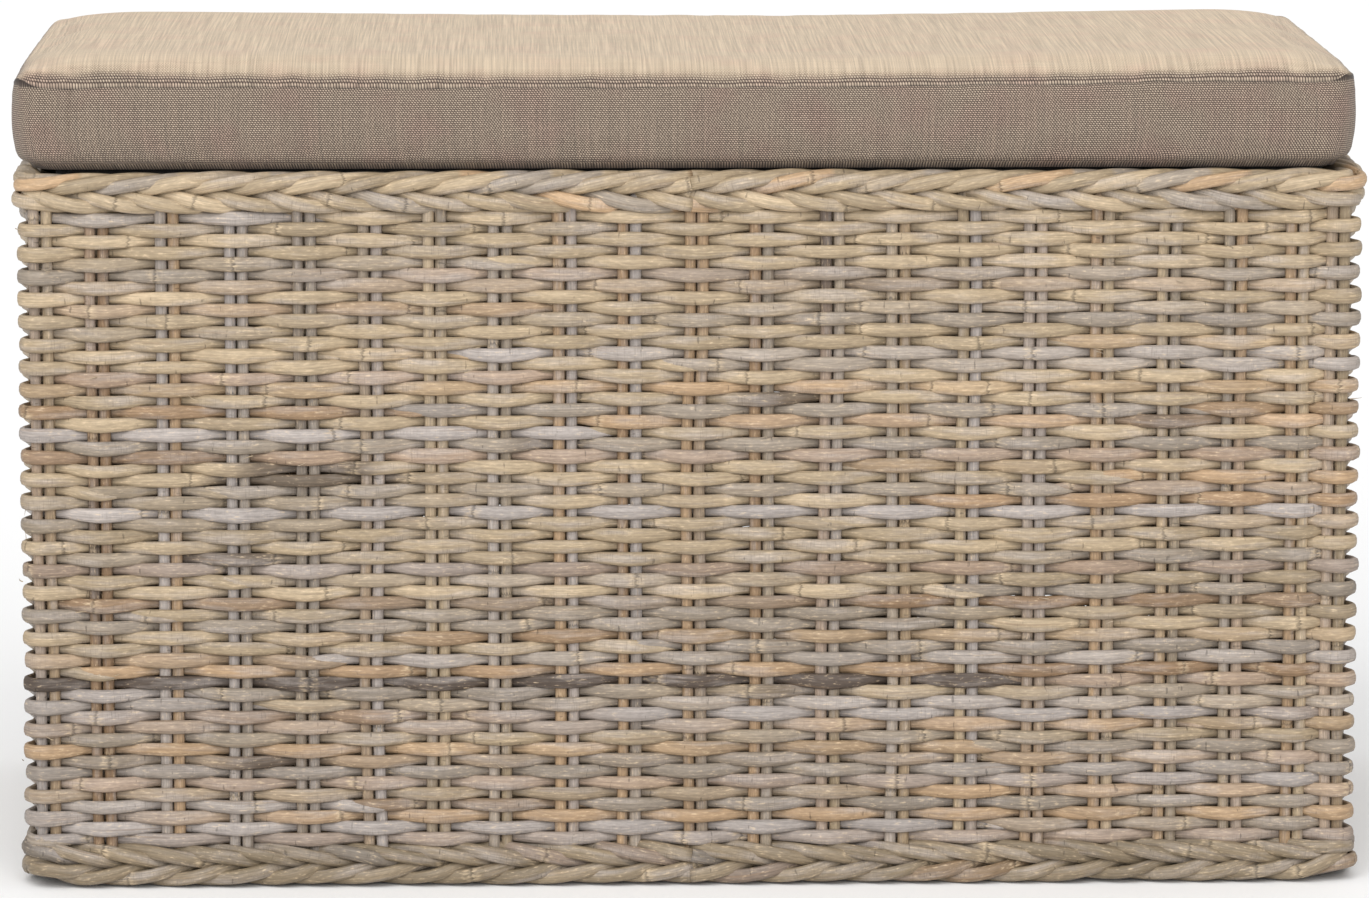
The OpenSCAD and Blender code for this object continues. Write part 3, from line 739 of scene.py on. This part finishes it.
CORNER_CHANGE = 14 * MM
FRONT_SAG = 3.4 * MM
SEAM_DROP_AT = [0, 0.04, 0.10, 0.30, 0.50, 0.70, 0.80, 0.90, 1]
SEAM_DROP = np.array([3.6, 4.6, 4.6, 5.2, 5.8, 5.0, 4.2, 2.6, 2.2]) * MM
SEAM_DROP_REACH = 70 * MM
SEAM_DROP_EDGE = 7 * MM
JOIN_X = -0.386
SEAM_WAVE = 1.0 * MM
SEAM_FADE = 7 * MM
# SEAM_DARK: how far the painted shade along the seam reaches.
SEAM_DARK = 0.7 * MM
CORNER_DIP = 1.6 * MM
CORNER_DIP_AT = 36 * MM
CORNER_DIP_REACH = 18 * MM
JOIN_HALF = 0.8 * MM
PUFF_CAP = 1.6 * MM
PUCKER = 0.35 * MM
PUCKER_AT = 5 * MM
PUCKER_REACH = 6 * MM
PUCKER_PITCH = 11 * MM
PUCKER_LENGTH = 30 * MM
EDGE_LINES = np.array([0, 0.25, 0.7, 1.4, 2.4, 3.7, 5.4, 7.6, 11, 15.5, 21]) * MM


def cushion_lines(half, spacing, edges, extra=()):
    """Grid lines from -half to half: close together near the ends, and at the extra places."""
    inner = half - edges[-1] - spacing * 0.8
    middle = np.linspace(-inner, inner, int(2 * inner / spacing) + 1)
    clear = np.all(np.abs(middle[:, None] - np.array(extra)) > 2.2 * MM, axis=1)
    near = [e + side for e in extra for side in (-1.6 * MM, -0.7 * MM, 0.0, 0.7 * MM, 1.6 * MM)]
    return np.sort(np.concatenate([-half + edges, middle[clear], near, half - edges]))


def rounded_plan(x, y, half_x, half_y, radius):
    """Moves a point of a rectangle so that the rectangle's corners become arcs."""
    past_x = np.maximum(np.abs(x) - (half_x - radius), 0)
    past_y = np.maximum(np.abs(y) - (half_y - radius), 0)
    corner = (past_x > 0) & (past_y > 0)
    size = np.maximum(np.hypot(past_x, past_y), 1e-9)
    shrink = np.where(corner, np.maximum(past_x, past_y) / size, 1.0)
    new_x = np.sign(x) * (np.minimum(np.abs(x), half_x - radius) + past_x * shrink)
    new_y = np.sign(y) * (np.minimum(np.abs(y), half_y - radius) + past_y * shrink)
    return new_x, new_y


def front_or_back(y, values):
    return np.where(y < 0, *values)


def crown_height(x, y, half_x, half_y):
    """How far the top panel stands above the seam: a rolled edge, then a nearly flat crown."""
    to_side, to_front = half_x - np.abs(x), half_y - np.abs(y)

    def share(reach):
        """0 at the edge and 1 past the reach, with rounded corners."""
        left = np.hypot(*[1 - np.clip(distance / reach, 0, 1) for distance in (to_side, to_front)])
        return 1 - np.minimum(left, 1)

    rolled = ROLL_RISE * np.sqrt(1 - (1 - share(ROLL_R)) ** 2)
    dip = CROWN_DIP * np.cos(pi * x / (2 * half_x)) ** 2
    return rolled + (CROWN - ROLL_RISE - dip) * (1 - (1 - share(CROWN_EDGE)) ** 2.2)


def band_profile(below):
    """How far the side band stands out from the widest line, at a depth below the seam."""
    bulge = BULGE * (1 - ((below - BULGE_HALF) / BULGE_HALF) ** 2)
    out = np.maximum(bulge, -0.6 * MM) - SEAM_INSET
    foot = np.maximum(below - (BAND_H - FOOT_R), 0)
    return out - (FOOT_R - np.sqrt(np.maximum(FOOT_R**2 - foot**2, 0)))


class CushionGrid:
    """A closed cushion cover on a regular grid: a top panel, a side band and a bottom panel."""

    def __init__(self, x_lines, y_lines, below):
        self.x_lines, self.y_lines, self.below = x_lines, y_lines, below
        nx, ny = len(x_lines), len(y_lines)
        grid = np.arange(nx * ny).reshape(nx, ny)
        edge = [grid[:-1, 0], grid[-1, :-1], grid[:0:-1, -1], grid[0, :0:-1]]
        self.edge = np.concatenate(edge)
        x, y = np.meshgrid(x_lines, y_lines, indexing="ij")
        self.flat_x, self.flat_y = x.ravel(), y.ravel()
        self.round = len(self.edge)
        self.panel = nx * ny
        edge_x, edge_y = self.flat_x[self.edge], self.flat_y[self.edge]
        steps = np.hypot(np.diff(edge_x, append=edge_x[0]), np.diff(edge_y, append=edge_y[0]))
        self.travel = np.concatenate([[0], np.cumsum(steps)])
        rows = [self.edge]
        for k in range(len(below) - 2):
            rows.append(2 * self.panel + k * self.round + np.arange(self.round))
        rows.append(self.panel + self.edge)
        self.rows = np.array(rows)
        a, b = grid[:-1, :-1].ravel(), grid[1:, :-1].ravel()
        c, d = grid[1:, 1:].ravel(), grid[:-1, 1:].ravel()
        top = np.stack([a, b, c, d], 1)
        bottom = np.stack([d, c, b, a], 1) + self.panel
        here, after = self.rows, np.roll(self.rows, -1, axis=1)
        band = np.stack([here[1:], after[1:], after[:-1], here[:-1]], -1).reshape(-1, 4)
        self.faces = [top, band, bottom]

    def points(self):
        """The cover's shape before the fabric is inflated."""
        x, y = self.flat_x, self.flat_y
        half_x, half_y = COVER_HALF[0] - SEAM_INSET, COVER_HALF[1] - SEAM_INSET
        inset_x = x * half_x / np.abs(self.x_lines).max()
        inset_y = y * half_y / np.abs(self.y_lines).max()
        radius = front_or_back(y, SEAM_CORNER_R)
        top_x, top_y = rounded_plan(inset_x, inset_y, half_x, half_y, radius)
        top = np.stack([top_x, top_y, SEAM_Z + crown_height(top_x, top_y, half_x, half_y)], 1)
        foot = band_profile(self.below[-1]) + SEAM_INSET
        foot_x, foot_y = rounded_plan(
            inset_x * (1 + foot / half_x), inset_y * (1 + foot / half_y),
            half_x + foot, half_y + foot, front_or_back(y, BAND_CORNER_R))
        past_lid = np.maximum(np.abs(foot_x) - cloth_high[0], cloth_low[1] - COVER_MIDDLE[1] - foot_y)
        sag = FRONT_SAG * np.clip(past_lid / (8 * MM), 0, 1)
        bottom = np.stack([foot_x, foot_y, cover_low[2] - sag], 1)
        points = [top, bottom]
        for below in self.below[1:-1]:
            out = band_profile(below)
            share = ease(np.clip(below / CORNER_CHANGE, 0, 1))
            radii = [s * (1 - share) + b * share for s, b in zip(SEAM_CORNER_R, BAND_CORNER_R)]
            radius = front_or_back(y[self.edge], radii)
            wide_x, wide_y = COVER_HALF[0] + out, COVER_HALF[1] + out
            edge_x = x[self.edge] * wide_x / np.abs(self.x_lines).max()
            edge_y = y[self.edge] * wide_y / np.abs(self.y_lines).max()
            row_x, row_y = rounded_plan(edge_x, edge_y, wide_x, wide_y, radius)
            points.append(np.stack([row_x, row_y, np.full(self.round, SEAM_Z - below)], 1))
        result = np.concatenate(points)
        result[:, :2] += COVER_MIDDLE[:2]
        return result


def inflate(points, faces, held):
    """Blows the cover up with Blender's cloth, with the held points pinned. Gives each point's move."""
    mesh = flat_mesh("inflating", points, faces)
    piece = in_scene("inflating", mesh)
    pins = piece.vertex_groups.new(name="pins")
    pins.add([int(i) for i in held], 1.0, "REPLACE")
    modifier = piece.modifiers.new("cloth", "CLOTH")
    settings = modifier.settings
    settings.vertex_group_mass = "pins"
    settings.quality = 5
    settings.mass = 0.25
    settings.use_pressure = True
    settings.uniform_pressure_force = 4.0
    settings.shrink_min = -0.006
    settings.tension_stiffness = 25
    settings.compression_stiffness = 25
    settings.shear_stiffness = 12
    settings.bending_stiffness = 2.0
    settings.effector_weights.gravity = 0.0
    modifier.collision_settings.use_collision = False
    modifier.point_cache.frame_end = 24
    for step in range(1, 21):
        bpy.context.scene.frame_set(step)
    evaluated = piece.evaluated_get(bpy.context.evaluated_depsgraph_get())
    moved = np.zeros(len(points) * 3, np.float32)
    evaluated.data.vertices.foreach_get("co", moved)
    bpy.data.objects.remove(piece)
    bpy.data.meshes.remove(mesh)
    bpy.context.scene.frame_set(1)
    return moved.reshape(-1, 3) - points


def resample(values, old_rows, old_columns, new_rows, new_columns):
    """Values on one grid, read by straight lines onto another grid."""
    across = np.array([np.interp(new_rows, old_rows, column) for column in values.T]).T
    return np.array([np.interp(new_columns, old_columns, row) for row in across])


def inflated(fine):
    """Moves of the fine grid's points, from a cloth simulation on a coarser even grid."""
    moves = np.zeros((2 * fine.panel + (len(fine.below) - 2) * fine.round, 3))
    even_x = np.linspace(-COVER_HALF[0], COVER_HALF[0], 96)
    even_y = np.linspace(-COVER_HALF[1], COVER_HALF[1], 46)
    coarse = CushionGrid(even_x, even_y, np.linspace(0, BAND_H, 8))
    held = np.concatenate([coarse.edge, coarse.panel + np.arange(coarse.panel)])
    simulated = inflate(coarse.points(), coarse.faces, held)
    simulated = PUFF_CAP * np.tanh(simulated / PUFF_CAP)
    for axis in range(3):
        top = simulated[:coarse.panel, axis].reshape(len(even_x), len(even_y))
        top = resample(top, even_x, even_y, fine.x_lines, fine.y_lines)
        moves[:fine.panel, axis] = top.ravel()
        band = simulated[coarse.rows, axis]
        band = np.concatenate([band, band[:, :1]], 1)
        band = resample(band, coarse.below, share_round(coarse), fine.below, share_round(fine))
        moves[fine.rows[1:-1].ravel(), axis] = band[1:-1, :-1].ravel()
    return moves


def share_round(grid):
    return grid.travel / grid.travel[-1]


def cushion(material):
    """The inflated cover with its seam creases and the join of the side band."""
    x_lines = cushion_lines(COVER_HALF[0], 6 * MM, EDGE_LINES, (JOIN_X,))
    y_lines = cushion_lines(COVER_HALF[1], 6 * MM, EDGE_LINES)
    below = np.concatenate([EDGE_LINES[:8], np.arange(12, 38, 4) * MM,
                            BAND_H - FOOT_R * (1 - np.sin(np.linspace(0, pi / 2, 8)))])
    grid = CushionGrid(x_lines, y_lines, below)
    points = grid.points() + inflated(grid)
    seam = np.zeros(len(points))
    travel = grid.travel[:-1]
    sag = np.sin(2 * pi * travel / 0.29) * 0.25 + wander(travel, 0.05, 0.35) + wander(travel, 0.016, 0.3)
    corner_dip = hump(travel - CORNER_DIP_AT, CORNER_DIP_REACH) * CORNER_DIP
    lowered = sag * SEAM_WAVE - corner_dip
    hang_seam(points, grid)
    for k, row in enumerate(grid.rows[:-1]):
        points[row, 2] += lowered * hump(below[k], SEAM_FADE)
        # The seam attribute is painted shade along the seam's crease.
        seam[row] = np.maximum(seam[row], hump(below[k], SEAM_DARK))
        if k > 0:
            in_join = hump(travel - (JOIN_X + COVER_HALF[0]), JOIN_HALF)
            points[row, 1] += in_join * JOIN_HALF
            # Painted shade in the groove of the band's join.
            seam[row] = np.maximum(seam[row], in_join * 0.35)
    puckers(points, grid)
    keep_zip_flat(points, grid)
    lowest, highest = cover_low[1:] - [0, FRONT_SAG], cover_high[1:] - [0.1 * MM, 0]
    points[:, 1:] = np.clip(points[:, 1:], lowest, highest)
    mesh = flat_mesh("cushion", points, grid.faces)
    add_attribute(mesh, "seam", "FLOAT", "POINT", seam)
    add_attribute(mesh, "cloth", "FLOAT_VECTOR", "CORNER", cloth_places(grid))
    replaced = ("cushion_cover", "cushion_foam")
    piece = add_piece("cushion", mesh, material, "cushion", replaced)


def hang_seam(points, grid):
    """Lowers the front seam towards its middle, with the edge of the top panel and the band under it."""
    def drop(x, y):
        at_front = np.interp(x / (2 * COVER_HALF[0]) + 0.5, SEAM_DROP_AT, SEAM_DROP)
        return at_front * hump(y + COVER_HALF[1], SEAM_DROP_REACH)

    x, y = grid.flat_x, grid.flat_y
    inset = np.minimum(COVER_HALF[0] - np.abs(x), COVER_HALF[1] - np.abs(y))
    points[:grid.panel, 2] -= drop(x, y) * hump(inset, SEAM_DROP_EDGE)
    for below, row in zip(grid.below[1:-1], grid.rows[1:-1]):
        points[row, 2] -= drop(x[grid.edge], y[grid.edge]) * (1 - below / BAND_H)


def puckers(points, grid):
    """Small ripples where the top panel rolls down into the seam."""
    inset = np.minimum(COVER_HALF[0] - np.abs(grid.flat_x), COVER_HALF[1] - np.abs(grid.flat_y))
    near = hump(inset - PUCKER_AT, PUCKER_REACH)
    by_long_edge = COVER_HALF[1] - np.abs(grid.flat_y) < PUCKER_LENGTH
    by_short_edge = COVER_HALF[0] - np.abs(grid.flat_x) < PUCKER_LENGTH
    ripple = wander(grid.flat_x, PUCKER_PITCH, 1.0) * by_long_edge
    ripple = ripple + wander(grid.flat_y, PUCKER_PITCH, 1.0) * by_short_edge
    points[:grid.panel, 2] += near * ripple * PUCKER
    slow = wander(grid.flat_x, 0.12, 0.5) + wander(grid.flat_y, 0.1, 0.4)
    points[:grid.panel, 2] += np.clip(inset / 0.05, 0, 1) * slow * MM


def keep_zip_flat(points, grid):
    """Holds the back band flat behind the zip's tape."""
    for row in grid.rows[1:-1]:
        place = points[row]
        level = (place[:, 2] > tape_low[2] - 3 * MM) & (place[:, 2] < tape_high[2] + 3 * MM)
        behind = level & (place[:, 1] > 0) & (np.abs(place[:, 0]) < tape_high[0] + 4 * MM)
        points[row[behind], 1] = tape_low[1] - 0.1 * MM


def cloth_places(grid):
    """Each face corner's place on its flat panel of fabric, so that the weave follows the cut."""
    flat = np.stack([grid.flat_x, grid.flat_y, np.zeros(grid.panel)], 1)
    top = flat[grid.faces[0]]
    columns = np.stack([grid.travel[:-1], grid.travel[1:], grid.travel[1:], grid.travel[:-1]], 1)
    band = np.zeros((len(grid.below) - 1, grid.round, 4, 3))
    band[..., 0] = columns
    band[..., 2] = 1.0
    for corner, lower in enumerate((1, 1, 0, 0)):
        band[:, :, corner, 1] = -np.array(grid.below)[lower:len(grid.below) - 1 + lower, None]
    bottom = flat[grid.faces[2] - grid.panel]
    return np.concatenate([top.reshape(-1, 3), band.reshape(-1, 3), bottom.reshape(-1, 3)])


# ---- the lid's cloth

CLOTH_T = 0.5 * MM
CLOTH_TURN = 42 * MM
CLOTH_SLACK = 0.12 * MM


def lid_cloth(material):
    """Black cloth stretched over the lid, down its sides and under its battens."""
    half_x, half_y = (cloth_high[:2] - cloth_low[:2]) / 2
    middle = (cloth_high + cloth_low) / 2
    drop = cloth_high[2] - cloth_low[2]
    rise = drop / 2
    x_lines, y_lines = np.linspace(-half_x, half_x, 81), np.linspace(-half_y, half_y, 39)
    points, faces, flat = [], [], []

    def sheet(place, flat_place, shape):
        first = sum(len(p) for p in points)
        number = first + np.arange(shape[0] * shape[1]).reshape(shape)
        corners = [number[:-1, :-1], number[1:, :-1], number[1:, 1:], number[:-1, 1:]]
        points.append(place.reshape(-1, 3))
        flat.append(flat_place.reshape(-1, 3))
        faces.append(np.stack([c.ravel() for c in corners], 1))

    x, y = np.meshgrid(x_lines, y_lines, indexing="ij")
    slack = 0.10 * MM * (wander(x.ravel(), 0.03, 1.0) + wander(y.ravel(), 0.05, 1.0)).reshape(x.shape)
    top = np.full(x.shape, rise) - CLOTH_SLACK + np.clip(slack, -CLOTH_SLACK, CLOTH_SLACK)
    inset = (np.abs(x) >= half_x - 1e-6) | (np.abs(y) >= half_y - 1e-6)
    top = np.where(inset, rise, top)
    sheet(np.stack([x, y, top], -1), np.stack([x, y, 0 * x], -1), x.shape)
    falls = np.array([0, 0.5, 1.0])
    turns = np.linspace(0, 1, 6)[1:]
    edges = ((x_lines, half_x, half_y, 0), (y_lines, half_y, half_x, 1))
    for along, half_long, half_across, axis in edges:
        for sign in (-1, 1):
            share = along / half_long
            down = [(half_across, rise - f * drop, half_long, f * drop) for f in falls]
            under = [(half_across - t * CLOTH_TURN, -rise, half_long - t * CLOTH_TURN,
                      drop + t * CLOTH_TURN) for t in turns]
            rows, spread = [], []
            for across, height, reach, travel in down + under:
                row = np.zeros((len(along), 3))
                row[:, axis], row[:, 1 - axis], row[:, 2] = share * reach, sign * across, height
                rows.append(row)
                laid = np.zeros((len(along), 3))
                laid[:, axis], laid[:, 1 - axis] = share * reach, sign * (half_across + travel)
                spread.append(laid)
            order = 1 if sign * (1 if axis == 0 else -1) > 0 else -1
            place, laid = np.array(rows)[:, ::order], np.array(spread)[:, ::order]
            sheet(place.transpose(1, 0, 2), laid.transpose(1, 0, 2), (len(along), len(rows)))
    all_points = np.concatenate(points) + middle
    mesh = flat_mesh("lid_cover", all_points, faces)
    add_attribute(mesh, "flat", "FLOAT_VECTOR", "POINT", np.concatenate(flat))
    piece = add_piece("lid_cover", mesh, material, "lid", ("lid_cloth",))
    weld_and_thicken(piece)


def weld_and_thicken(piece):
    """Joins the sheet's panels along their shared edges and gives it its thickness, inwards."""
    weld = piece.modifiers.new("weld", "WELD")
    weld.merge_threshold = 0.05 * MM
    solid = piece.modifiers.new("thickness", "SOLIDIFY")
    solid.thickness = CLOTH_T
    solid.offset = -1
    graph = bpy.context.evaluated_depsgraph_get()
    mesh = bpy.data.meshes.new_from_object(piece.evaluated_get(graph))
    piece.modifiers.clear()
    piece.data = mesh


def staples(material):
    """Wire staples that hold the turned-under cloth to the battens."""
    strands = Strands(6)
    half = (cloth_high - cloth_low) / 2
    middle = (cloth_high + cloth_low) / 2
    inset = CLOTH_TURN - 9 * MM
    crown, leg, wire = 5 * MM, 1.2 * MM, 0.35 * MM
    share = np.linspace(-1, 1, 9)
    for axis in (0, 1):
        reach, across = half[axis] - 60 * MM, half[1 - axis] - inset
        for place in np.linspace(-reach, reach, int(2 * reach / (48 * MM))):
            for sign in (-1, 1):
                tilt = rng.normal(0, 0.15)
                path = np.zeros((len(share), 3))
                path[:, axis] = place + crown * np.clip(share * 1.5, -1, 1)
                path[:, 1 - axis] = sign * across + tilt * crown * share
                path[:, 2] = -half[2] - 0.35 * MM + leg * np.maximum(np.abs(share) - 0.66, 0) * 3
                outward = np.tile([0.0, 0.0, -1.0], (len(share), 1))
                tint = np.tile(srgb(190, 190, 190), (len(share), 1))
                strands.add(path + middle, outward, wire, wire, tint)
    strands.piece("cloth_staples", material, "zinc_steel", body="lid")


# ---- the frame's own parts

def dress(material, *names):
    """Gives CAD nodes a finished material."""
    for name in names:
        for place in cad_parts[name].material_slots:
            place.material = material


def dress_by_slot(slot, material):
    """Gives every CAD node of one material slot a finished material."""
    for name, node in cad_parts.items():
        if any(m.name.startswith(slot) for m in node.data.materials):
            dress(material, name)


def dress_frame():
    pine, knotty = srgb(184, 154, 116), srgb(150, 112, 74)
    dress_by_slot("rattan_pole", pole_material())
    long_rails = wood_material("pine_along_x", pine, knotty, "x")
    short_rails = wood_material("pine_along_y", pine, knotty, "y")
    dress_by_slot("timber", long_rails)
    dress(short_rails, "bottom_rail_left", "bottom_rail_right", "top_rail_left", "top_rail_right")
    dress(short_rails, "lid_batten_left", "lid_batten_right", "floor_battens")
    for name, plies in (("floor_panel", 5), ("lid_panel", 7)):
        low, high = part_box(name)
        dress(plywood_material("birch_" + name, low.z, high.z, plies), name)
    dress_by_slot("zinc_steel", steel_material())
    dress_by_slot("bumper", moulded_material("rubber", srgb(46, 44, 42), 0.7, 900))
    dress_by_slot("glide", moulded_material("nylon", srgb(70, 62, 54), 0.5, 1400))
    dress(fuzz_material("hooks", srgb(60, 56, 52), 1.3 * MM), "hook_strips")
    dress(fuzz_material("loops", srgb(96, 86, 76), 1.9 * MM), "loop_strips")
    dress(zip_tape_material((tape_low[2] + tape_high[2]) / 2, 2.4 * MM), "zip_tape")
    dress(steel_material(), "zip_slider")


# ---- camera and light

CAMERA_AT = (-0.109, -4.497, 0.931)
CAMERA_DOWN = radians(8.62)
CAMERA_TURN = radians(-1.40)
CAMERA_LENS = 180.5
SUN_STRENGTH = 2.7
SUN_SPREAD = radians(60)
SUN_TILT = radians(55)
SUN_TURN = radians(-8)
SKY_STRENGTH = 0.65
FLOOR_REACH = 30.0


def camera():
    eye = in_scene("camera", bpy.data.cameras.new("camera"))
    eye.data.sensor_width = 36
    eye.data.lens = CAMERA_LENS
    eye.data.clip_end = 100
    eye.location = CAMERA_AT
    eye.rotation_euler = (pi / 2 - CAMERA_DOWN, 0, CAMERA_TURN)
    bpy.context.scene.camera = eye


def soft_sun():
    lamp = bpy.data.lights.new("daylight", "SUN")
    lamp.energy = SUN_STRENGTH
    lamp.angle = SUN_SPREAD
    in_scene("daylight", lamp).rotation_euler = (SUN_TILT, 0, SUN_TURN)


def floor_material():
    s = Surface("studio_floor")
    mottle = s.noise(s.where(), 1.5, detail=2)
    return s.finish(s.mix(mottle, (0.90, 0.90, 0.90, 1), (0.92, 0.92, 0.92, 1)), 0.9)


def studio():
    world = bpy.data.worlds.new("studio")
    world.use_nodes = True
    background = world.node_tree.nodes["Background"]
    background.inputs["Color"].default_value = (1, 1, 1, 1)
    background.inputs["Strength"].default_value = SKY_STRENGTH
    bpy.context.scene.world = world
    soft_sun()
    corners = np.array([[-1, -1, 0], [1, -1, 0], [1, 1, 0], [-1, 1, 0]]) * FLOOR_REACH
    ground = flat_mesh("floor", corners, [np.array([[0, 1, 2, 3]])])
    ground.materials.append(floor_material())
    in_scene("floor", ground)
    bpy.context.scene.view_settings.view_transform = "Standard"


# ---- the scene

cane = rattan_material("peeled_cane")
plait_cane = rattan_material("plait_cane", 0.46)
weave(cane)
stakes(cane)
frays(cane)
border(plait_cane, "top", 1, 1.02, 1.0 * MM)
# The bottom plait's tone of 0.57 is painted shade: its canes are darkened for the little light that
# reaches under the basket.
border(plait_cane, "bottom", -1, 0.57, 5.0 * MM)
cushion(fabric_material())
lid_cloth(black_cloth_material("dust_cloth"))
staples(steel_material())
dress_frame()
camera()
studio()
